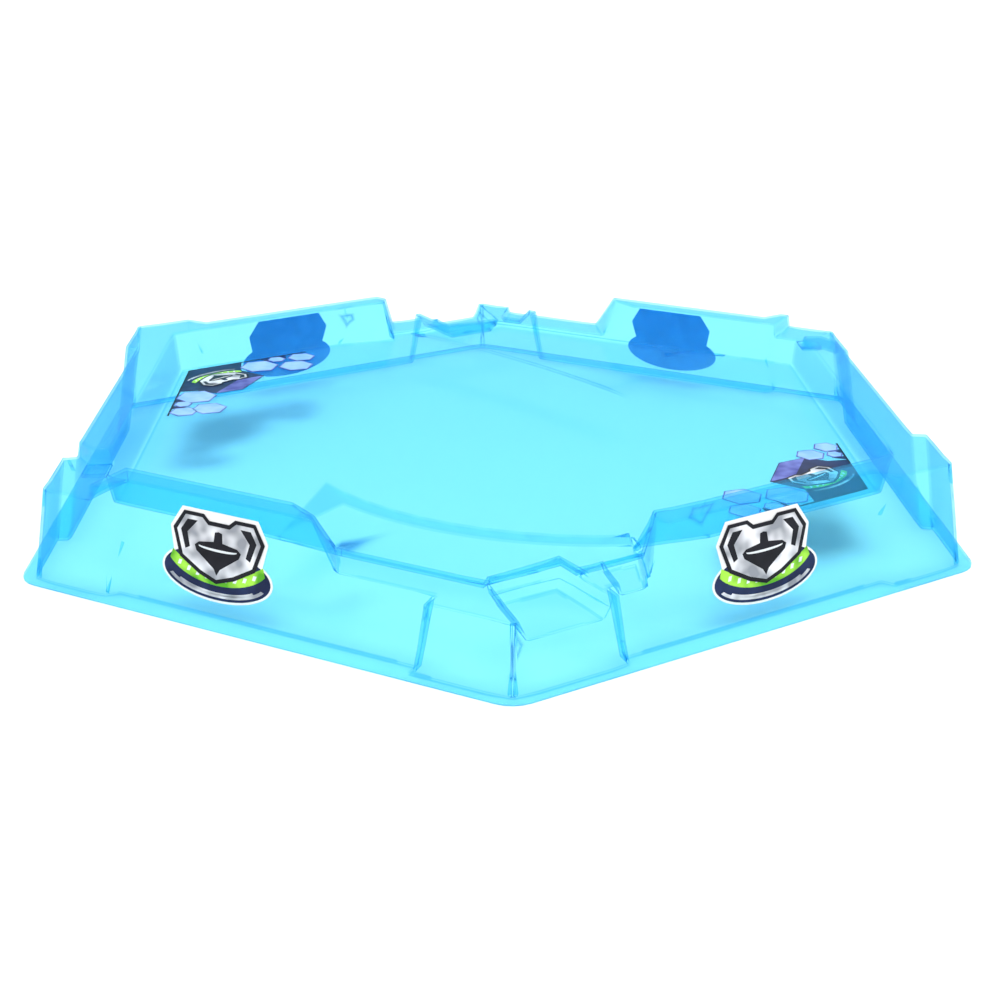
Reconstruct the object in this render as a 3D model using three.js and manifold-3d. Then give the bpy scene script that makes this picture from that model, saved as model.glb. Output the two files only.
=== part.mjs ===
// Battle arena for spinning tops: one vacuum-formed sheet of clear cyan plastic with a six-sided
// play floor, a high hollow wall on each side, a low launching place at the front and back corners,
// and six printed stickers. Millimetres, +Z up, origin on the table under the middle of the floor.

import * as THREE from 'three';
import { mergeVertices } from 'three/addons/utils/BufferGeometryUtils.js';
import Module from 'manifold-3d';

// The sheet and the overall sizes.
const sheet = 1.2; // thickness of the formed sheet
const flangeApothem = 186.2; // middle of the arena to the edge of the base flange
const wallHeight = 43.4; // table to the top of the high walls
const flangeRounding = 12; // plan radius of the flange corners
const bastionRounding = 3; // plan radius of the outer corners
const edgeStep = 15; // degrees from one point of a round corner to the next

// The hollow wall, measured from the flange edge inward.
const flangeWidth = 10.2; // flange beside the middle of a wall
const bastionFlangeWidth = 5.2; // flange beside a corner
const outerDraft = 0.19; // sideways lean of the outer walls for each millimetre of height
const bastionDraft = 0.08; // the same for the thicker slanting walls at the corners
const sideBastionDraft = 0.17; // and for the thicker left and right walls
const plateauWidth = 11.6; // flat top of the four slanting walls
const sidePlateauWidth = 14.4; // flat top of the left and right walls
const innerDraft = 0.25; // lean of the inner face of the slanting walls
const sideInnerDraft = 0.13; // lean of the inner face of the left and right walls

// The thicker wall at each corner: how far it runs from the flange corner along the wall before
// it and the wall after it, and the length over which it steps back at its foot and its top.
const launchBastion = { before: 42, after: 51, jog: 1.5, lean: 3.5 };
const cornerBastion = { side: 40, slant: 38.5, sideJog: 1.5, slantJog: 9, lean: 1.5 };

// The levels above the table.
const floorHeight = 25.5;
const rimHeight = 27;
const lowPadHeight = 37.5;
const launchHeight = 20; // floor of the launching recess
const launchLedgeHeight = 23.5; // ledge in the recess's inner wall
const frontNotchHeight = 23;
const backNotchHeight = 24.3;
const launchZoneDrop = 1.5; // the floor beyond the curved ridge lies this much lower

// The low gap in the wall around the front corner and the back corner, as distances along the wall
// from its middle, at the wall's outer then inner face, at the top of the wall and at the rim.
const rampTop = [18, 1];
const rampFoot = [29.5, 16.5];
const endTop = [-31, -30];
const endFoot = [-42, -31];

// The launching recess, on the wall to the right of the corner as seen from outside: distances
// from the flange corner along the wall, and the depth in from the mouth.
const launchFloor = { nearMouth: 10.2, nearEnd: 16.5, far: 40.7, depth: 29 };
const launchRim = { nearMouth: 6, nearEnd: 14, far: 45, depth: 32.6 };
const launchLedge = 1.2;

// The dam between the recess and the play floor: its flat top, its rise toward the far end, how far
// it reaches back over the recess, runs on past it and slants at its ends, and how it spreads.
const damWidth = 4.2;
const damHump = 1.4;
const damBack = 12;
const damOverrun = 2;
const damSlant = 3;
const damSpread = { foot: 2, top: 0.5 };

// Notches in the rim and the low pads at two of the corners.
const frontNotch = { side: 5, mouth: [-54, -44], end: [-47.5, -33.2], depth: 19 };
const backNotch = { side: 1, mouth: [72.8, 83], end: [70.5, 79.5], depth: 10.5 };
const notchDraft = 1;
const padReach = 31; // flange corner to the step up to the high wall
const padSlope = 1;
const padInside = 30; // how far a low pad's cut reaches in over the play floor
const padRecess = { length: 11, width: 8, depth: 1.2, inset: 5.5, draft: 0.4 };

// The curved ridges in the floor, each an arc from beside the end of a high wall to the open floor.
// The low zone behind a ridge meets the walls at a head and a tail, at its bottom and at the floor.
const ridgeWidth = 6;
const ridgeSteps = 10;
const ridgeShare = 0.84; // share of the upper edge that the lower edge follows
const zoneLip = 0.2; // how far the cut for the low zone reaches above the floor
const zoneInset = { low: 0.6, high: 0.1 }; // how far the low zone stays off the walls' feet
const ridges = [
  { turn: 0, head: [47, -128], tail: [-71, -67], bulge: 18, wallHead: [-29, -29], wallTail: [18, -12] },
  { turn: Math.PI, head: [31, -146], tail: [-65, -36], bulge: 5, wallHead: [-45, -42], wallTail: [-25, -55] },
];
const flare = { start: 8, reach: 9, topReach: 1, topRun: 24, back: 4, end: 2 };

// How far the solids for cuts and joins run past the surfaces they meet.
const cutReach = 10; // outward, past the flange edge
const cutHeadroom = 6; // upward, past the high walls
const cutRise = 1; // upward, past a low level
const gapInside = 12; // inward, past the foot of the inner wall
const joinRoot = 3; // downward, under the play floor
const cutOverlap = 0.01; // between two cuts that meet

// Stickers.
const stickerThickness = 0.4;
const stickerGap = 0.3;
const stickerLift = 23; // height of a wall sticker's middle
const badge = { discWidth: 25, discHeight: 10.5, discDrop: 7, shoulder: 22, top: 17, rise: 16, join: 0.6 };
const stickerPlaces = [
  { name: 'wall_sticker_front_left', side: 4, along: -22 },
  { name: 'wall_sticker_front_right', side: 5, along: 10 },
  { name: 'wall_sticker_back_right', side: 1, along: -14 },
  { name: 'wall_sticker_back_left', side: 2, along: 20 },
];
const floorSticker = { edge: 4, depth: 24, cell: 10.5 };
const floorStickerPlaces = [
  { name: 'floor_sticker_back_left', turn: 0, sideArm: 68, slantArm: 66 },
  { name: 'floor_sticker_front_right', turn: Math.PI, sideArm: 60, slantArm: 60 },
];

const wasm = await Module();
wasm.setup();

// Plan geometry. Wall 0 faces +X and the walls are numbered counter-clockwise; corner n lies
// between wall n and wall n + 1.
const halfTurn = Math.PI;
const wallTurn = Math.PI / 3;
const flangeCorner = flangeApothem * Math.tan(wallTurn / 2);
const wallFoot = flangeApothem - flangeWidth;
const bastionFoot = flangeApothem - bastionFlangeWidth;
const wallTop = wallFoot - outerDraft * wallHeight;
const isSideWall = (side) => side % 3 === 0;

function wallPoint(side, apothem, along) {
  const angle = side * wallTurn;
  const x = apothem * Math.cos(angle) - along * Math.sin(angle);
  const y = apothem * Math.sin(angle) + along * Math.cos(angle);
  return [x, y];
}

function turned([x, y], angle) {
  const c = Math.cos(angle);
  const s = Math.sin(angle);
  return [x * c - y * s, x * s + y * c];
}

// Where the lines through points a and c with directions b and d cross.
function crossing(a, b, c, d) {
  const along = ((c[0] - a[0]) * d[1] - (c[1] - a[1]) * d[0]) / (b[0] * d[1] - b[1] * d[0]);
  return [a[0] + b[0] * along, a[1] + b[1] * along];
}

// Moves every edge of a counter-clockwise outline outward by a distance.
function grow(outline, distance) {
  const count = outline.length;
  const edges = outline.map((start, i) => {
    const end = outline[(i + 1) % count];
    const length = Math.hypot(end[0] - start[0], end[1] - start[1]);
    const run = [(end[0] - start[0]) / length, (end[1] - start[1]) / length];
    return { point: [start[0] + run[1] * distance, start[1] - run[0] * distance], run };
  });
  return edges.map((edge, i) => {
    const last = edges[(i + count - 1) % count];
    return crossing(last.point, last.run, edge.point, edge.run);
  });
}

// A six-sided outline with an apothem for each wall.
function hexagon(apothemOf) {
  return [0, 1, 2, 3, 4, 5].map((side) => {
    const next = (side + 1) % 6;
    const here = wallPoint(side, apothemOf(side), 0);
    const there = wallPoint(next, apothemOf(next), 0);
    return crossing(here, wallPoint(side, 0, 1), there, wallPoint(next, 0, 1));
  });
}

// The rounded corner between wall n and wall n + 1, each with its own apothem.
function roundCorner(corner, apothem, nextApothem, radius) {
  const next = (corner + 1) % 6;
  const here = wallPoint(corner, apothem - radius, 0);
  const there = wallPoint(next, nextApothem - radius, 0);
  const centre = crossing(here, wallPoint(corner, 0, 1), there, wallPoint(next, 0, 1));
  const steps = Math.round(THREE.MathUtils.radToDeg(wallTurn) / edgeStep);
  const points = [];
  for (let i = 0; i <= steps; i += 1) {
    const angle = (corner + i / steps) * wallTurn;
    points.push([centre[0] + radius * Math.cos(angle), centre[1] + radius * Math.sin(angle)]);
  }
  return points;
}

// A share of the arc from one point to another that bulges to the left of the way between them,
// with its radius changed by a distance.
function bulgedArc(from, to, bulge, steps, outward, share) {
  const chord = Math.hypot(to[0] - from[0], to[1] - from[1]);
  const radius = (chord * chord) / (8 * bulge) + bulge / 2;
  const reach = Math.asin(chord / 2 / radius);
  const run = [(to[0] - from[0]) / chord, (to[1] - from[1]) / chord];
  const points = [];
  for (let i = 0; i <= steps; i += 1) {
    const angle = reach * ((2 * share * i) / steps - 1);
    const along = chord / 2 + (radius + outward) * Math.sin(angle);
    const off = bulge - radius + (radius + outward) * Math.cos(angle);
    points.push([from[0] + run[0] * along - run[1] * off, from[1] + run[1] * along + run[0] * off]);
  }
  return points;
}

// A closed solid between two outlines with the same number of points. A level is one height, or
// one height for each point.
function loftGeometry(low, lowLevel, high, highLevel) {
  const count = low.length;
  const levelAt = (level, i) => (Array.isArray(level) ? level[i] : level);
  const positions = [];
  low.forEach(([x, y], i) => positions.push(x, y, levelAt(lowLevel, i)));
  high.forEach(([x, y], i) => positions.push(x, y, levelAt(highLevel, i)));
  const toVector = ([x, y]) => new THREE.Vector2(x, y);
  const index = [];
  THREE.ShapeUtils.triangulateShape(low.map(toVector), []).forEach(([a, b, c]) => index.push(a, c, b));
  THREE.ShapeUtils.triangulateShape(high.map(toVector), []).forEach(([a, b, c]) => {
    index.push(a + count, b + count, c + count);
  });
  for (let i = 0; i < count; i += 1) {
    const next = (i + 1) % count;
    index.push(i, next, next + count, i, next + count, i + count);
  }
  const geometry = new THREE.BufferGeometry();
  geometry.setAttribute('position', new THREE.Float32BufferAttribute(positions, 3));
  geometry.setIndex(index);
  return geometry;
}

function toSolid(geometry) {
  const bare = geometry.clone();
  bare.deleteAttribute('normal');
  bare.deleteAttribute('uv');
  const merged = mergeVertices(bare, 1e-4);
  const vertProperties = new Float32Array(merged.attributes.position.array);
  const triVerts = new Uint32Array(merged.index.array);
  return new wasm.Manifold(new wasm.Mesh({ numProp: 3, vertProperties, triVerts }));
}

function toGeometry(solid) {
  const mesh = solid.getMesh();
  const geometry = new THREE.BufferGeometry();
  geometry.setAttribute('position', new THREE.BufferAttribute(new Float32Array(mesh.vertProperties), 3));
  geometry.setIndex(new THREE.BufferAttribute(new Uint32Array(mesh.triVerts), 1));
  return geometry;
}

const shifted = (level, by) => (Array.isArray(level) ? level.map((z) => z + by) : level + by);

// The volume under the formed sheet. With no inset this is the visible upper surface; with the
// sheet's thickness as inset it is the surface below it.
function formedVolume(inset) {
  const below = inset > 0 ? -1 : 0;
  const above = wallHeight + cutHeadroom;
  const block = (low, high, level, from = below + inset) => {
    const top = shifted(level, -inset);
    return toSolid(loftGeometry(grow(low, -inset), from - inset, grow(high, -inset), top));
  };
  const cut = (low, level, high, highLevel) => {
    return toSolid(loftGeometry(grow(low, inset), level - inset, grow(high, inset), highLevel - inset));
  };
  const sink = (low, level, high, highLevel) => {
    return toSolid(loftGeometry(low, level - inset, high, highLevel - inset));
  };

  const wallAt = (height) => wallFoot - outerDraft * height;
  const bastionAt = (side, height) => {
    return bastionFoot - (isSideWall(side) ? sideBastionDraft : bastionDraft) * height;
  };
  let volume = block(hexagon(() => wallAt(0)), hexagon(() => wallTop), wallHeight);

  // The thicker wall around each corner.
  const bastionEnd = (corner, side) => {
    if (corner % 3 === 1) {
      const reach = side === corner ? launchBastion.before : launchBastion.after;
      return { start: flangeCorner - reach, jog: launchBastion.jog, lean: launchBastion.lean };
    }
    const { side: sideReach, slant, sideJog, slantJog, lean } = cornerBastion;
    const reach = isSideWall(side) ? sideReach : slant;
    return { start: flangeCorner - reach, jog: isSideWall(side) ? sideJog : slantJog, lean };
  };
  const bastion = (corner, height) => {
    const next = (corner + 1) % 6;
    const before = bastionEnd(corner, corner);
    const after = bastionEnd(corner, next);
    const inner = wallTop - plateauWidth / 2;
    const outline = (level) => {
      const here = bastionAt(corner, level);
      const there = bastionAt(next, level);
      const beforeStart = before.start + (before.lean * level) / rimHeight;
      const afterStart = after.start + (after.lean * level) / rimHeight;
      return [
        wallPoint(corner, inner, beforeStart - before.jog),
        wallPoint(corner, here, beforeStart),
        ...roundCorner(corner, here, there, bastionRounding),
        wallPoint(next, there, -afterStart),
        wallPoint(next, inner, after.jog - afterStart),
      ];
    };
    return block(outline(0), outline(height), height);
  };
  const cornerHeights = [wallHeight, rimHeight, wallHeight, wallHeight, rimHeight, wallHeight];
  cornerHeights.forEach((height, corner) => {
    volume = volume.add(bastion(corner, height));
  });

  // The play floor, inside the walls.
  const topWidth = (side) => (isSideWall(side) ? sidePlateauWidth : plateauWidth);
  const lean = (side) => (isSideWall(side) ? sideInnerDraft : innerDraft);
  const innerAt = (side, height) => wallTop - topWidth(side) - lean(side) * (wallHeight - height);
  const bowlLow = hexagon((side) => innerAt(side, floorHeight));
  const bowlHigh = hexagon((side) => innerAt(side, above));
  volume = volume.subtract(cut(bowlLow, floorHeight, bowlHigh, above));

  // The same features stand at the front corner (corner 4) and, turned by half, at the back.
  ridges.forEach(({ turn, head, tail, bulge, wallHead, wallTail }) => {
    const place = (points) => points.map((point) => turned(point, turn));
    const left = 4;
    const right = 5;
    const foot = innerAt(left, floorHeight);

    // The low zone of the floor between the curved ridge and the corner.
    const zone = (inward, outward, share, end) => [
      wallPoint(left, foot - inward, wallTail[end]),
      hexagon((side) => innerAt(side, floorHeight) - inward)[left],
      wallPoint(right, foot - inward, wallHead[end]),
      ...bulgedArc(head, tail, bulge, ridgeSteps, outward, share),
    ];
    const zoneLow = place(zone(zoneInset.low, ridgeWidth, ridgeShare, 0));
    const zoneHigh = place(zone(zoneInset.high, 0, 1, 1));
    volume = volume.subtract(sink(zoneLow, floorHeight - launchZoneDrop, zoneHigh, floorHeight + zoneLip));

    // The inner wall thickens toward the end beside the launching place.
    const flareEnd = endFoot[1] + flare.end;
    const flareLow = [
      wallPoint(right, foot + flare.back, flareEnd - flare.end),
      wallPoint(right, foot + flare.back, flare.start),
      wallPoint(right, foot, flare.start),
      wallPoint(right, foot - flare.reach, flareEnd),
    ];
    const flareTop = innerAt(right, wallHeight);
    const flareHigh = [
      wallPoint(right, flareTop + flare.back, flareEnd - flare.topReach),
      wallPoint(right, flareTop + flare.back, flareEnd + flare.topRun),
      wallPoint(right, flareTop, flareEnd + flare.topRun - flare.topReach),
      wallPoint(right, flareTop - flare.topReach, flareEnd),
    ];
    volume = volume.add(block(place(flareLow), place(flareHigh), wallHeight, floorHeight - joinRoot));

    // The gap: a sloping ramp on the left wall, a steep end on the right wall.
    const gap = (ramp, end, level) => {
      const outer = flangeApothem + cutReach;
      const inner = foot - gapInside;
      const outerFace = wallAt(level);
      const innerFace = innerAt(left, level);
      return [
        wallPoint(left, inner, ramp[1]),
        wallPoint(left, innerFace, ramp[1]),
        wallPoint(left, outerFace, ramp[0]),
        wallPoint(left, outer, ramp[0]),
        hexagon(() => outer)[left],
        wallPoint(right, outer, end[0]),
        wallPoint(right, outerFace, end[0]),
        wallPoint(right, innerFace, end[1]),
        wallPoint(right, inner, end[1]),
      ];
    };
    const overshoot = (above - wallHeight) / (wallHeight - rimHeight);
    const beyond = (top, low) => top.map((value, i) => value + (value - low[i]) * overshoot);
    const gapLow = gap(rampFoot, endFoot, rimHeight);
    const gapHigh = gap(beyond(rampTop, rampFoot), beyond(endTop, endFoot), above);
    volume = volume.subtract(cut(place(gapLow), rimHeight, place(gapHigh), above));

    // The dam between the launching recess and the play floor, rising toward its far end.
    const mouth = bastionAt(right, launchHeight);
    const damFace = mouth - launchRim.depth;
    const damNear = launchRim.nearEnd - flangeCorner;
    const damFar = launchRim.far + damOverrun - flangeCorner;
    const dam = (spread) => [
      wallPoint(right, damFace + damBack + spread, damNear - spread - damSlant),
      wallPoint(right, damFace + damBack + spread, damFar + spread),
      wallPoint(right, damFace - damWidth - spread, damFar + spread),
      wallPoint(right, damFace - damWidth - spread, damNear - spread + damSlant),
    ];
    const damRoot = floorHeight - joinRoot;
    const damLevels = [0, damHump, damHump, 0].map((rise) => rimHeight + rise);
    volume = volume.add(block(place(dam(damSpread.foot)), place(dam(damSpread.top)), damLevels, damRoot));

    // The launching recess, open through the outer wall, with a ledge in its inner wall.
    const recess = (share, ledge) => {
      const between = (key) => launchFloor[key] + share * (launchRim[key] - launchFloor[key]);
      const depth = between('depth') + ledge;
      const inner = mouth - depth;
      const outer = flangeApothem + cutReach;
      const slant = (between('nearEnd') - between('nearMouth')) / depth;
      return [
        wallPoint(right, inner, between('nearEnd') - flangeCorner),
        wallPoint(right, outer, between('nearMouth') - slant * (outer - mouth) - flangeCorner),
        wallPoint(right, outer, between('far') - flangeCorner),
        wallPoint(right, inner, between('far') - flangeCorner),
      ];
    };
    const ledgeShare = (launchLedgeHeight - launchHeight) / (rimHeight - launchHeight);
    const recessTop = rimHeight + damHump + cutRise;
    const lowerRecess = [place(recess(0, 0)), place(recess(ledgeShare, 0))];
    const upperRecess = [place(recess(ledgeShare, launchLedge)), place(recess(1, 0))];
    const lowerTop = launchLedgeHeight + cutOverlap;
    volume = volume.subtract(cut(lowerRecess[0], launchHeight, lowerRecess[1], lowerTop));
    volume = volume.subtract(cut(upperRecess[0], launchLedgeHeight, upperRecess[1], recessTop));
  });

  // One notch in the rim at the front and one at the back.
  const notch = ({ side, mouth, end, depth }, level) => {
    const inner = wallAt(level) - depth;
    const reach = flangeApothem + cutReach - inner;
    const outerAt = (i) => end[i] + ((mouth[i] - end[i]) * reach) / depth;
    const outline = (spread) => [
      wallPoint(side, inner - spread, end[0] - spread),
      wallPoint(side, inner + reach, outerAt(0) - spread),
      wallPoint(side, inner + reach, outerAt(1) + spread),
      wallPoint(side, inner - spread, end[1] + spread),
    ];
    return cut(outline(0), level, outline(notchDraft), rimHeight + cutRise);
  };
  volume = volume.subtract(notch(frontNotch, frontNotchHeight));
  volume = volume.subtract(notch(backNotch, backNotchHeight));

  // The low pads at the left front corner and the right back corner, each with a shallow recess.
  [3, 0].forEach((corner) => {
    const next = corner + 1;
    const step = flangeCorner - padReach;
    const pad = (reach) => [
      wallPoint(corner, wallTop - padInside, step - reach),
      wallPoint(corner, wallTop - padRecess.inset, step - reach),
      wallPoint(corner, wallTop, bastionEnd(corner, corner).start - reach),
      wallPoint(corner, flangeApothem + cutReach, bastionEnd(corner, corner).start - reach),
      hexagon(() => flangeApothem + cutReach)[corner],
      wallPoint(next, flangeApothem + cutReach, -step + reach),
      wallPoint(next, wallTop - padInside, -step + reach),
    ];
    volume = volume.subtract(cut(pad(0), lowPadHeight, pad(padSlope), above));
    const near = step + padSlope;
    const far = near + padRecess.length;
    const outer = wallTop - padRecess.inset;
    const inner = outer - padRecess.width;
    const recess = (spread) => [
      wallPoint(corner, inner - spread, near - spread),
      wallPoint(corner, outer + spread, near - spread),
      wallPoint(corner, outer + spread, far + spread),
      wallPoint(corner, inner - spread, far + spread),
    ];
    const recessLevel = lowPadHeight - padRecess.depth;
    volume = volume.subtract(cut(recess(0), recessLevel, recess(padRecess.draft), lowPadHeight + cutRise));
  });
  return volume;
}

function arenaShell() {
  const flange = [0, 1, 2, 3, 4, 5].flatMap((corner) => {
    return roundCorner(corner, flangeApothem, flangeApothem, flangeRounding);
  });
  const plate = toSolid(loftGeometry(flange, 0, flange, sheet));
  return toGeometry(formedVolume(0).add(plate).subtract(formedVolume(sheet)));
}

// Wall stickers: a six-sided badge standing on a wide disc.
function badgeOutline() {
  const shape = new THREE.Shape();
  const join = Math.asin(badge.join);
  shape.absellipse(0, -badge.discDrop, badge.discWidth, badge.discHeight, halfTurn - join, join, false);
  shape.lineTo(badge.shoulder, badge.rise / 2);
  shape.lineTo(badge.top, badge.rise);
  shape.lineTo(-badge.top, badge.rise);
  shape.lineTo(-badge.shoulder, badge.rise / 2);
  return shape;
}

function wallSticker({ side, along }) {
  const geometry = new THREE.ExtrudeGeometry(badgeOutline(), {
    depth: stickerThickness,
    bevelEnabled: false,
    curveSegments: 20,
  });
  const lean = Math.atan(outerDraft);
  const [x, y] = wallPoint(side, wallFoot - outerDraft * stickerLift, along);
  const frame = new THREE.Matrix4().makeTranslation(x, y, stickerLift);
  frame.multiply(new THREE.Matrix4().makeRotationZ(side * wallTurn + halfTurn / 2));
  frame.multiply(new THREE.Matrix4().makeRotationX(halfTurn / 2 - lean));
  frame.multiply(new THREE.Matrix4().makeTranslation(0, 0, stickerGap));
  return { geometry, frame };
}

// Floor stickers: a bent strip of honeycomb cells in two opposite corners of the floor.
function floorStickerShape({ sideArm, slantArm }) {
  const inner = wallTop - floorSticker.edge;
  const sideEdge = inner - sidePlateauWidth - sideInnerDraft * (wallHeight - floorHeight);
  const slantEdge = inner - plateauWidth - innerDraft * (wallHeight - floorHeight);
  const corner = hexagon((side) => (isSideWall(side) ? sideEdge : slantEdge))[2];
  const cornerOnSlant = turned(corner, -2 * wallTurn)[1];
  const onSide = (depth, distance) => [corner[0] + depth, corner[1] - distance];
  const onSlant = (depth, distance) => wallPoint(2, slantEdge - depth, cornerOnSlant - distance);
  const { depth, cell } = floorSticker;
  return [
    corner,
    onSide(0, sideArm),
    onSide(depth / 2, sideArm + cell / 2),
    onSide(depth, sideArm - cell / 2),
    onSide(depth * 0.8, sideArm - 2 * cell),
    onSide(depth * 1.4, sideArm - 3.5 * cell),
    onSlant(depth * 1.2, slantArm - 2 * cell),
    onSlant(depth * 0.8, slantArm - 1.5 * cell),
    onSlant(depth / 2, slantArm + cell / 2),
    onSlant(0, slantArm),
  ];
}

function floorStickerPart(place) {
  const outline = floorStickerShape(place);
  return {
    geometry: loftGeometry(outline, 0, outline, stickerThickness),
    frame: new THREE.Matrix4()
      .makeRotationZ(place.turn)
      .multiply(new THREE.Matrix4().makeTranslation(0, 0, floorHeight + stickerGap)),
  };
}

const arena = new THREE.Group();
arena.name = 'battle_arena';

function addMesh(name, geometry, colour, roughness, frame) {
  const material = new THREE.MeshStandardMaterial({ color: colour, roughness, metalness: 0 });
  const mesh = new THREE.Mesh(geometry, material);
  mesh.name = name;
  if (frame) {
    mesh.applyMatrix4(frame);
  }
  arena.add(mesh);
}

addMesh('arena_shell', arenaShell(), '#7fdff2', 0.15);
stickerPlaces.forEach((place) => {
  const { geometry, frame } = wallSticker(place);
  addMesh(place.name, geometry, '#c9ccd2', 0.4, frame);
});
floorStickerPlaces.forEach((place) => {
  const { geometry, frame } = floorStickerPart(place);
  addMesh(place.name, geometry, '#b9c3e6', 0.4, frame);
});

export default arena;
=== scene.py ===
import itertools
import math

import bmesh
import bpy
from mathutils import Matrix, Vector
from mathutils.geometry import intersect_line_line_2d, intersect_point_line


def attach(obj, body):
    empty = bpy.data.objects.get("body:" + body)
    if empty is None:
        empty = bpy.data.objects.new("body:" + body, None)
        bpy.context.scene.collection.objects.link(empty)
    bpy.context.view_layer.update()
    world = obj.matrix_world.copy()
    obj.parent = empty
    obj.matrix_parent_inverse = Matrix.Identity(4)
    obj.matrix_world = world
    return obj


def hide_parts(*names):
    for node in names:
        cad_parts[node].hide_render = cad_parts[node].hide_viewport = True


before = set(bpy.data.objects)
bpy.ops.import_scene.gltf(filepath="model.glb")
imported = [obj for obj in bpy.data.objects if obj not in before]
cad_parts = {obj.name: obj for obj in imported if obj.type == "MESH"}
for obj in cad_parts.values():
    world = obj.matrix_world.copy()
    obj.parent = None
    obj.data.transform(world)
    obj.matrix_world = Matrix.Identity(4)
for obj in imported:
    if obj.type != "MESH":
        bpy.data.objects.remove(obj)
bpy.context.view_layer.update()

# Setting: a plain pale table in a white studio tent. A bright patch overhead and two tall softboxes
# draw the thin highlights along the folds of the clear sheet. The camera stands low in front.
scene = bpy.context.scene
scene.view_settings.view_transform = "Standard"
light_bounces = 32
scene.cycles.max_bounces = light_bounces
scene.cycles.transmission_bounces = light_bounces
scene.cycles.transparent_max_bounces = light_bounces


class Socket:
    """A shader output, with the arithmetic that the finishes are written in."""

    def __init__(self, finish, output):
        self.finish = finish
        self.output = output

    def maths(self, operation, *values):
        return self.finish.node("ShaderNodeMath", {"operation": operation}, *values)

    def __add__(self, other):
        return self.maths("ADD", self, other)

    def __radd__(self, other):
        return self.maths("ADD", other, self)

    def __mul__(self, other):
        return self.maths("MULTIPLY", self, other)

    def __rmul__(self, other):
        return self.maths("MULTIPLY", other, self)


class Finish:
    """The nodes of one material, or of the studio's light."""

    def __init__(self, owner, surface="Principled BSDF"):
        self.owner = owner
        self.owner.use_nodes = True
        self.tree = owner.node_tree
        self.surface = self.tree.nodes[surface]

    def node(self, kind, settings=None, *values, output=0, **named):
        """A new node: its settings come first, then the values or links of its sockets."""
        made = self.tree.nodes.new(kind)
        for key, value in (settings or {}).items():
            if key == "stops":
                ramp = made.color_ramp
                while len(ramp.elements) < len(value):
                    ramp.elements.new(0.5)
                for element, (position, colour) in zip(ramp.elements, value):
                    element.position = position
                    element.color = (*colour, 1)
            else:
                setattr(made, key, value)
        for key, value in [*enumerate(values), *named.items()]:
            self.feed(made.inputs[key.replace("_", " ") if isinstance(key, str) else key], value)
        return Socket(self, made.outputs[output])

    def feed(self, socket, value):
        """Gives a socket a link or a fixed value."""
        if isinstance(value, Socket):
            self.tree.links.new(value.output, socket)
        else:
            socket.default_value = value

    def set(self, **sockets):
        """Feeds the sockets of the shader that the surface is drawn with."""
        for key, value in sockets.items():
            self.feed(self.surface.inputs[key.replace("_", " ")], value)

    def place(self):
        """Where a point of the piece is, in the piece's own metres."""
        return self.node("ShaderNodeTexCoord", None, output="Object")


def table_top():
    """A plain pale table that fills the camera's view from the front."""
    reach = table_reach
    corners = [(-reach, -reach, 0), (reach, -reach, 0), (reach, reach, 0), (-reach, reach, 0)]
    mesh = bpy.data.meshes.new("table")
    mesh.from_pydata(corners, [], [(0, 1, 2, 3)])
    table = bpy.data.objects.new("table", mesh)
    scene.collection.objects.link(table)
    finish = Finish(bpy.data.materials.new("pale table"))
    grain = finish.node("ShaderNodeTexNoise", None, Vector=finish.place(), Scale=3.0, Detail=2.0)
    stops = [(0, (0.88, 0.885, 0.89)), (1, (0.9, 0.9, 0.9))]
    shade = finish.node("ShaderNodeValToRGB", {"stops": stops}, grain)
    finish.set(Base_Color=shade, Roughness=0.7, Specular_IOR_Level=0.2)
    mesh.materials.append(finish.owner)


def studio_tent():
    """An even white tent with one soft, bright patch overhead for the folds to catch."""
    studio = Finish(bpy.data.worlds.new("studio tent"), "Background")
    scene.world = studio.owner
    direction = studio.node("ShaderNodeTexCoord", None, output="Generated")
    height = studio.node("ShaderNodeSeparateXYZ", None, direction, output="Z")
    glow = studio.node(
        "ShaderNodeMapRange",
        {"interpolation_type": "SMOOTHSTEP"},
        Value=height,
        From_Min=math.cos(patch_rim),
        From_Max=math.cos(patch_core),
        To_Min=tent_glow,
        To_Max=patch_glow,
    )
    studio.set(Color=(1, 1, 1, 1), Strength=glow)


def strip_light(name, place):
    """A tall, narrow softbox that leans over the arena from one side."""
    light = bpy.data.lights.new(name, "AREA")
    light.shape = "RECTANGLE"
    light.size, light.size_y = strip_size
    light.energy = strip_power
    lamp = bpy.data.objects.new(name, light)
    lamp.location = place
    lamp.rotation_euler = (-Vector(place)).to_track_quat("-Z", "Y").to_euler()
    scene.collection.objects.link(lamp)


table_reach = 6.0
table_top()

tent_glow = 0.7
patch_glow = 8.0
patch_rim = math.radians(24)
patch_core = math.radians(12)
studio_tent()

strip_size = (0.12, 1.1)
strip_power = 1.5
strip_light("left strip", (-0.9, -0.5, 0.7))
strip_light("right strip", (0.9, -0.4, 0.6))

camera_yaw = math.radians(1.98)
camera_dip = math.radians(21.49)
camera = bpy.data.objects.new("camera", bpy.data.cameras.new("camera"))
camera.location = (-0.02099, -0.68959, 0.26098)
camera.rotation_euler = (math.pi / 2 - camera_dip, 0, -camera_yaw)
camera.data.lens = 58.9
camera.data.sensor_width = 36
camera.data.clip_start = 0.01
scene.collection.objects.link(camera)
scene.camera = camera

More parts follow.
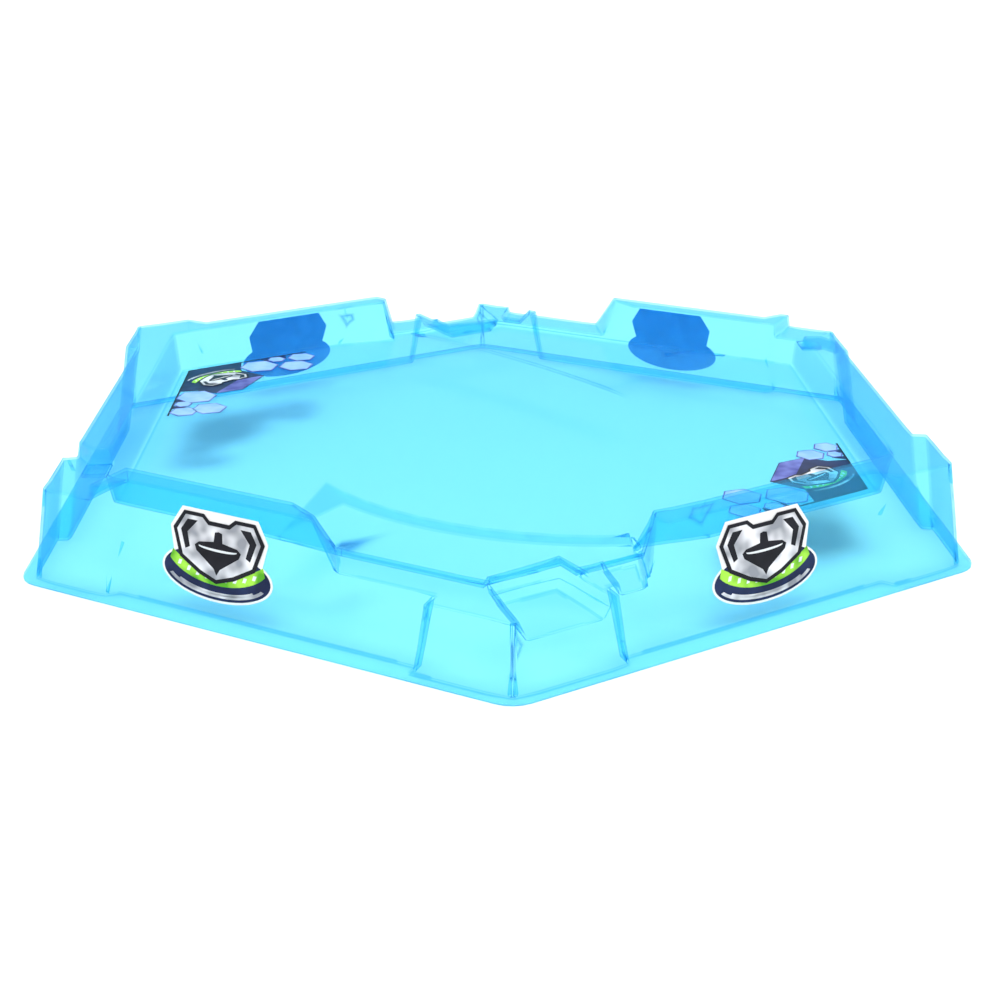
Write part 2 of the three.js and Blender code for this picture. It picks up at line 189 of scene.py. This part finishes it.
# The arena: one sheet of clear cyan plastic, heated and drawn down over a mould, so every fold is
# rounded on both faces and the sheet is one thickness all over. Its foot turns out into a flat
# trimmed flange.
sheet_thickness = 0.0011
fold_reach = 0.0013
fold_angle = math.radians(30)
crease_angle = math.radians(15.5)
flat_angle = math.radians(0.6)
least_rise = 1e-3
weld_reach = 1e-5
ring_weld_reach = 2e-5
smallest_edge = 0.0002
fold_spacing = 0.009
room_share = 0.4
straight_turn = 0.25
smallest_step = 0.01
uncross_rounds = 6
fold_rings = ((0, 0.5), (0.5, 0.125), (1, 0))
ridge_slope = (0.88, 0.993)
edge_on_tint = (0.3, 0.62, 0.93, 1)
face_on_gloss = 0.07
edge_on_gloss = 0.3


def upper_face(node):
    """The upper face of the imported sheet, as flat panels: whatever looks upward."""
    skin = bmesh.new()
    skin.from_mesh(node.data)
    bmesh.ops.remove_doubles(skin, verts=skin.verts, dist=weld_reach)
    hidden = [face for face in skin.faces if face.normal.z < least_rise]
    bmesh.ops.delete(skin, geom=hidden, context="FACES")
    for _ in range(2):
        bmesh.ops.dissolve_limit(skin, angle_limit=flat_angle, verts=skin.verts, edges=skin.edges)
        bmesh.ops.remove_doubles(skin, verts=skin.verts, dist=smallest_edge)
    for edge in list(skin.edges):
        cuts = int(edge.calc_length() / fold_spacing)
        if cuts:
            bmesh.ops.subdivide_edges(skin, edges=[edge], cuts=cuts)
    return skin


def is_fold(edge):
    """Whether two panels meet sharply enough at an edge for it to be rounded."""
    return len(edge.link_faces) == 2 and edge.calc_face_angle() > fold_angle


def room_at(loop):
    """How far a panel's corner can move before it meets another edge of its panel."""
    room = min(loop.edge.calc_length(), loop.link_loop_prev.edge.calc_length())
    for edge in loop.face.edges:
        if loop.vert not in edge.verts:
            start, end = (vert.co for vert in edge.verts)
            nearest, share = intersect_point_line(loop.vert.co, start, end)
            if share < 0 or share > 1:
                nearest = start if share < 0 else end
            room = min(room, (nearest - loop.vert.co).length)
    return room_share * room


def inset_corner(loop):
    """Where a panel's corner goes when its folds take their share of the panel."""
    ahead = loop.edge
    behind = loop.link_loop_prev.edge
    along = (ahead.other_vert(loop.vert).co - loop.vert.co).normalized()
    back = (behind.other_vert(loop.vert).co - loop.vert.co).normalized()
    turn = along.cross(back).dot(loop.face.normal)
    if abs(turn) < straight_turn:
        inward = loop.face.normal.cross(along - back)
        step = inward * straight_turn * (is_fold(ahead) + is_fold(behind))
    else:
        step = (back * is_fold(ahead) + along * is_fold(behind)) / turn
    if step.length < smallest_step:
        return Vector()
    return step * min(fold_reach, room_at(loop) / step.length)


def crossed_corners(face, insets):
    """The corners whose panel edges would cross another edge of the panel after the inset."""
    across = face.loops[0].edge.verts[1].co - face.loops[0].edge.verts[0].co
    axes = (across.normalized(), face.normal.cross(across).normalized())
    ends = []
    for loop in face.loops:
        ends.append(Vector([axis.dot(loop.vert.co + insets[loop]) for axis in axes]))
    loops = list(face.loops)
    edges = list(zip(loops, loops[1:] + loops[:1], ends, ends[1:] + ends[:1]))
    crossed = set()
    for (a, b, start, end), (c, d, other_start, other_end) in itertools.combinations(edges, 2):
        apart = b is not c and a is not d
        if apart and intersect_line_line_2d(start, end, other_start, other_end):
            crossed.update((a, b, c, d))
    return crossed


def panel_insets(face):
    """How far each corner of a panel moves, with the moves that cross edges halved until they don't."""
    insets = {loop: inset_corner(loop) for loop in face.loops}
    for _ in range(uncross_rounds):
        for loop in crossed_corners(face, insets):
            insets[loop] = insets[loop] * 0.5
    return insets


def rounded_folds(skin):
    """The same skin with each fold drawn as a curve between two lines inside its panels."""
    points = []
    faces = []
    panels = set()
    insets = {}
    for face in skin.faces:
        insets.update(panel_insets(face))
    pull = {}
    for vert in skin.verts:
        steps = [insets[loop] for loop in vert.link_loops]
        pull[vert] = Vector() if vert.is_boundary else sum(steps, Vector()) / len(steps)
    for face in skin.faces:
        rings = []
        for share, drawn in fold_rings:
            ring = [l.vert.co + insets[l] * share + pull[l.vert] * drawn for l in face.loops]
            rings.append(range(len(points), len(points) + len(ring)))
            points.extend(ring)
        for outer, inner in zip(rings, rings[1:]):
            for here in range(len(outer)):
                past = (here + 1) % len(outer)
                faces.append((outer[here], outer[past], inner[past], inner[here]))
        panels.add(len(faces))
        faces.append(tuple(rings[-1]))
    return points, faces, panels


def arena_sheet():
    """The formed sheet, with rounded folds, crisp shallow creases and one thickness all over."""
    skin = upper_face(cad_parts["arena_shell"])
    mesh = bpy.data.meshes.new("arena_sheet")
    points, faces, panels = rounded_folds(skin)
    mesh.from_pydata(points, [], faces)
    for index, polygon in enumerate(mesh.polygons):
        polygon.select = index in panels
        # Faces on the ridge slopes get the second plastic, a darker painted shade where the bent sheet
        # turns light away.
        polygon.material_index = ridge_slope[0] < polygon.normal.z < ridge_slope[1]
    skin.clear()
    skin.from_mesh(mesh)
    bmesh.ops.remove_doubles(skin, verts=skin.verts, dist=ring_weld_reach)
    bmesh.ops.triangulate(skin, faces=[face for face in skin.faces if len(face.verts) > 4])
    for face in skin.faces:
        face.smooth = True
    for edge in skin.edges:
        between_panels = len(edge.link_faces) == 2 and all(face.select for face in edge.link_faces)
        edge.smooth = not between_panels or edge.calc_face_angle() < crease_angle
    skin.to_mesh(mesh)
    skin.free()
    piece = bpy.data.objects.new("arena_sheet", mesh)
    scene.collection.objects.link(piece)
    thickness = piece.modifiers.new("sheet thickness", "SOLIDIFY")
    thickness.thickness = sheet_thickness
    thickness.offset = -1
    flat = piece.modifiers.new("flat panels", "WEIGHTED_NORMAL")
    flat.weight = 100
    flat.keep_sharp = True
    return piece


def clear_plastic(name, face_on_tint):
    """Tinted plastic so thin that light goes straight through, glossier and bluer seen edge-on."""
    finish = Finish(bpy.data.materials.new(name))
    place = finish.place()
    ripple = finish.node("ShaderNodeTexNoise", None, Vector=place, Scale=24.0, Detail=2.0)
    haze = finish.node("ShaderNodeTexNoise", None, Vector=place, Scale=9.0, Detail=3.0)
    bump = finish.node("ShaderNodeBump", None, Strength=0.25, Distance=0.0006, Height=ripple)
    finish.set(
        Base_Color=(0.12, 0.6, 0.93, 1),
        Roughness=0.05 + 0.08 * haze,
        IOR=1.55,
        Normal=bump,
    )
    facing = finish.node("ShaderNodeLayerWeight", None, 0.5, output="Facing")
    grazing = facing * facing * facing * facing
    face_on = finish.node("ShaderNodeBsdfTransparent", None, Color=face_on_tint)
    edge_on = finish.node("ShaderNodeBsdfTransparent", None, Color=edge_on_tint)
    tint = finish.node("ShaderNodeMixShader", None, grazing, face_on, edge_on)
    gloss = Socket(finish, finish.surface.outputs[0])
    share = face_on_gloss + edge_on_gloss * grazing
    sheet = finish.node("ShaderNodeMixShader", None, share, tint, gloss)
    finish.feed(finish.tree.nodes["Material Output"].inputs["Surface"], sheet)
    return finish.owner


sheet_piece = arena_sheet()
sheet_piece.data.materials.append(clear_plastic("clear cyan plastic", (0.715, 0.965, 1.0, 1)))
# The second plastic is the same sheet with a darker, bluer painted shade for the ridge slopes.
sheet_piece.data.materials.append(clear_plastic("stretched cyan plastic", (0.5, 0.85, 0.97, 1)))
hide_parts("arena_shell")
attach(sheet_piece, "root")

# Wall stickers: four die-cut badges of white printed film, one on each slanting wall. Each has a
# silver shield with a dark spinning top on it, above a navy disc that carries a green band.
# They are measured in millimetres from the middle of the badge, and each ink lies on the one before.
millimetre = 0.001
film_thickness = 0.12
ink_step = 0.034
disc_middle = (0, -7)
disc_size = (24, 9.6)
disc_shoulder = math.degrees(math.asin(0.6))
film_margin = (1, 0.9)
badge_top = 16
film_colours = {
    "film": ((0.86, 0.87, 0.88), (0.9, 0.9, 0.9), 0.35, 0),
    # The film's back is white: its blue is painted shade, standing for the cyan light and shadow behind
    # the sheet.
    "film back": ((0.1, 0.24, 0.7), (0.14, 0.3, 0.8), 0.5, 0),
    "black ink": ((0.006, 0.007, 0.012), (0.012, 0.013, 0.02), 0.25, 0),
    "navy ink": ((0.008, 0.016, 0.06), (0.015, 0.03, 0.1), 0.25, 0),
    "silver ink": ((0.3, 0.32, 0.36), (0.86, 0.88, 0.92), 0.3, 0.35),
    "green ink": ((0.1, 0.42, 0.02), (0.42, 0.85, 0.08), 0.3, 0),
    "pale ink": ((0.7, 0.76, 0.8), (0.85, 0.88, 0.9), 0.35, 0),
    "lavender ink": ((0.2, 0.42, 0.8), (0.3, 0.52, 0.88), 0.4, 0),
    "purple ink": ((0.06, 0.07, 0.3), (0.16, 0.2, 0.55), 0.35, 0),
}


def printed_film(name, dark, light, roughness, metal):
    """Ink on film: a soft blend between two tones, with fine grain and a faint orange peel."""
    finish = Finish(bpy.data.materials.new(name))
    place = finish.place()
    blend = finish.node("ShaderNodeTexNoise", None, Vector=place, Scale=140.0, Detail=1.0)
    grain = finish.node("ShaderNodeTexNoise", None, Vector=place, Scale=2500.0, Detail=2.0)
    tone = finish.node("ShaderNodeValToRGB", {"stops": [(0.35, dark), (0.65, light)]}, blend)
    peel = finish.node("ShaderNodeBump", None, Strength=0.08, Distance=0.0002, Height=grain)
    finish.set(
        Base_Color=tone,
        Roughness=roughness + 0.12 * grain,
        Metallic=metal,
        Specular_IOR_Level=0.15,
        Normal=peel,
    )
    return finish.owner


inks = [printed_film(name, *look) for name, look in film_colours.items()]
ink_order = list(film_colours)


class Decal:
    """A flat printed piece, built up from thin flat patches of film and ink."""

    def __init__(self, node, placing):
        self.node = node
        self.placing = placing
        self.shape = bmesh.new()

    def patch(self, ink, outline, level, thickness=ink_step, back=None):
        """A patch of one ink between two heights above the back of the sticker."""
        shape = self.shape
        rings = []
        for height in (level, level + thickness):
            points = [Vector((x, y, height)) * millimetre for x, y in outline]
            rings.append([shape.verts.new(self.placing @ point) for point in points])
        low, high = rings
        made = [shape.faces.new(high), shape.faces.new(low[::-1])]
        for here in range(len(low)):
            past = (here + 1) % len(low)
            made.append(shape.faces.new((low[here], low[past], high[past], high[here])))
        for face in made:
            face.material_index = ink_order.index(ink)
        if back:
            made[1].material_index = ink_order.index(back)

    def finish(self, slot):
        """Makes the whole print one piece, in place of the plain sticker."""
        bmesh.ops.recalc_face_normals(self.shape, faces=self.shape.faces)
        mesh = bpy.data.meshes.new(self.node.name + "_print")
        self.shape.to_mesh(mesh)
        self.shape.free()
        for material in inks:
            mesh.materials.append(material)
        piece = bpy.data.objects.new(self.node.name + "_print", mesh)
        scene.collection.objects.link(piece)
        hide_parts(self.node.name)
        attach(piece, "root")


def arc(middle, width, height, start, end, steps=20):
    """Points on an ellipse between two angles in degrees."""
    angles = [math.radians(start + (end - start) * n / steps) for n in range(steps + 1)]
    return [(middle[0] + width * math.cos(a), middle[1] + height * math.sin(a)) for a in angles]


def mirrored(half):
    """A shape that is the same on both sides, from its right half."""
    return half + [(-x, y) for x, y in reversed(half) if x]


def emblem(decal, level):
    """The badge's print: a navy disc, a green band, a silver shield and a spinning top."""
    disc = arc(disc_middle, *disc_size, 0, 360, 48)[:-1]
    decal.patch("navy ink", disc, level)
    for outer, inner, start, end in ((22.6, 21.2, 200, 340), (20.4, 19.7, 215, 325)):
        rim = arc(disc_middle, outer, outer * 0.38, start, end)
        lip = arc(disc_middle, inner, inner * 0.34, end, start)
        decal.patch("silver ink", rim + lip, level + ink_step)
    band = arc((0, 1), 23.6, 12.2, 205, 335) + arc((0, 4), 23, 10, 332, 208)
    decal.patch("green ink", band, level + 2 * ink_step)
    for step in range(-4, 5):
        middle = 4.2 * step
        height = 2.5 - 11.1 * math.sqrt(1 - (middle / 23.3) ** 2)
        bar = [(middle - 1, height - 0.9), (middle + 0.4, height - 0.9), (middle + 1, height + 0.9)]
        decal.patch("pale ink", bar + [(middle - 0.4, height + 0.9)], level + 3 * ink_step)
    shield = [(0, -10.6), (8, -8), (17, -3), (20.6, 7.6), (16, 14.6), (7, 14.6), (4.4, 12.4)]
    plate = [(0, -9), (7.2, -6.6), (15.6, -2), (18.8, 7.2), (15.2, 13.2), (7.6, 13.2), (4.8, 10.8)]
    decal.patch("black ink", mirrored(shield), level + 4 * ink_step)
    decal.patch("silver ink", mirrored(plate), level + 5 * ink_step)
    for side in (-1, 1):
        wing = [(9.6, 11.6), (14.2, 11.6), (17, 7.4), (14.6, 0.4), (12.6, 1.4), (14, 6.8)]
        decal.patch("black ink", [(side * x, y) for x, y in wing], level + 6 * ink_step)
    body = [(0, -7.4), (1.4, -5), (9.6, 0.6), (10.4, 2.6), (8.6, 4), (2, 5), (1.6, 8.6), (0, 9)]
    decal.patch("black ink", mirrored(body), level + 6 * ink_step)
    glint = arc((0, 2.6), 8.6, 1.1, 180, 360, 16)
    decal.patch("pale ink", glint + arc((0, 2.9), 8.6, 0.5, 360, 180, 16)[1:-1], level + 7 * ink_step)


def wall_placing(node):
    """The badge's own axes: across the wall, up its slope, and out of it."""
    face = max(node.data.polygons, key=lambda polygon: polygon.area)
    outward = face.normal.copy()
    if outward.dot(face.center * Vector((1, 1, 0))) < 0:
        outward.negate()
    up = (Vector((0, 0, 1)) - outward * outward.z).normalized()
    across = up.cross(outward)
    extents = []
    for axis in (across, up, outward):
        reach = [axis.dot(vert.co) for vert in node.data.vertices]
        extents.append((min(reach), max(reach)))
    middle = across * sum(extents[0]) / 2 + up * (extents[1][1] - badge_top * millimetre)
    placing = Matrix((across, up, outward)).transposed().to_4x4()
    placing.translation = middle + outward * extents[2][0]
    return placing


def wall_sticker(name):
    """A badge of white film whose back is painted blue, a painted shade for the cyan light behind the
    sheet, and whose shield rises out of the disc.
    """
    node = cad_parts[name]
    decal = Decal(node, wall_placing(node))
    width, height = (size + margin for size, margin in zip(disc_size, film_margin))
    outline = arc(disc_middle, width, height, 180 - disc_shoulder, 360 + disc_shoulder, 36)
    outline += mirrored([(22, 8), (17, badge_top)])
    # The back of the film takes the painted blue shade.
    decal.patch("film", outline, 0, film_thickness, back="film back")
    emblem(decal, film_thickness)
    decal.finish("wall_badge")


for corner in ("front_left", "front_right", "back_right", "back_left"):
    wall_sticker("wall_sticker_" + corner)

# Floor stickers: in two opposite corners of the play floor, a bent row of pale honeycomb cells with
# dark outlines on clear film. The cells run along both walls from a navy patch in the corner, which
# carries a small badge. Places are given as the depth from the wall and the distance from the corner.
cell_turn = 15
cell_outline = 0.7
cell_top = 0.15
patch_top = 0.1
edge_line = 0.9
edge_line_top = 0.11
gap_top = 0.08
small_badge = 0.66
badge_turn = math.radians(222)
badge_middle = (0.0165, -0.0125, 0)
badge_level = 0.135
side_cells = [(9.6, 42.2, 9.6), (4.9, 53, 4.4), (6.8, 64, 6.6), (17.8, 59.6, 8.2)]
slant_cells = [(11.6, 32.4, 9.6), (5.2, 44.6, 4.6), (8, 57, 7), (20, 48.4, 8.6)]
small_side_cells = [(6.2, 49.6, 5.8), (4.4, 40.6, 3.8), (14.8, 40.2, 6.6)]


def floor_sticker(name, turn, on_side, on_slant):
    """One corner's print: navy patch, honeycomb along both walls, and the small badge."""
    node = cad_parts[name]
    flat = Matrix.Rotation(turn, 4, "Z")
    local = [flat.inverted() @ vert.co for vert in node.data.vertices]
    edge = min(point.x for point in local)
    corner = max(point.y for point in local if point.x < edge + weld_reach)
    base = min(point.z for point in local)
    decal = Decal(node, flat @ Matrix.Translation((edge, corner, base)))
    slope = math.radians(30)

    def beside_side(depth, distance):
        return depth, -distance

    def beside_slant(depth, distance):
        x = depth * math.sin(slope) + distance * math.cos(slope)
        return x, distance * math.sin(slope) - depth * math.cos(slope)

    patch = [beside_slant(0, 0), beside_side(0, 34), beside_side(9, 32.6), beside_side(18, 37)]
    patch += [beside_side(30, 31), beside_slant(27, 28), beside_slant(13, 22), beside_slant(0, 28)]
    decal.patch("navy ink", patch, 0, patch_top)
    fade = [beside_side(18, 36.6), beside_side(29.6, 30.8), beside_slant(26.8, 27.6)]
    decal.patch("purple ink", fade + [beside_side(26, 16)], patch_top)
    for place, cells in ((beside_side, on_side), (beside_slant, on_slant)):
        length = max(distance + size for _, distance, size in cells) - 1
        line = [place(0, 0), place(0, length), place(edge_line, length), place(edge_line, 0)]
        decal.patch("black ink", line, 0, edge_line_top)
        for depth, distance, size in cells:
            middle = place(depth, distance)
            turns = (cell_turn, cell_turn + 360)
            outline = arc(middle, size, size, *turns, 6)[:-1]
            inside = arc(middle, size - cell_outline, size - cell_outline, *turns, 6)[:-1]
            decal.patch("purple ink", outline, 0, cell_top)
            decal.patch("lavender ink", inside, cell_top)
        depth, distance, size = cells[1]
        for way in (-1, 1):
            near = place(edge_line, distance + way * (size * 0.6))
            far = place(edge_line, distance + way * (size + 2.4))
            gap = [near, far, place(depth + 2, distance + way * size)]
            decal.patch("navy ink", gap, 0, gap_top)
    decal.placing @= Matrix.Translation(badge_middle)
    decal.placing @= Matrix.Rotation(badge_turn, 4, "Z")
    decal.placing @= Matrix.Diagonal((small_badge, small_badge, 1, 1))
    emblem(decal, badge_level)
    decal.finish("floor_print")


floor_sticker("floor_sticker_back_left", 0, side_cells, slant_cells)
floor_sticker("floor_sticker_front_right", math.pi, small_side_cells, slant_cells)
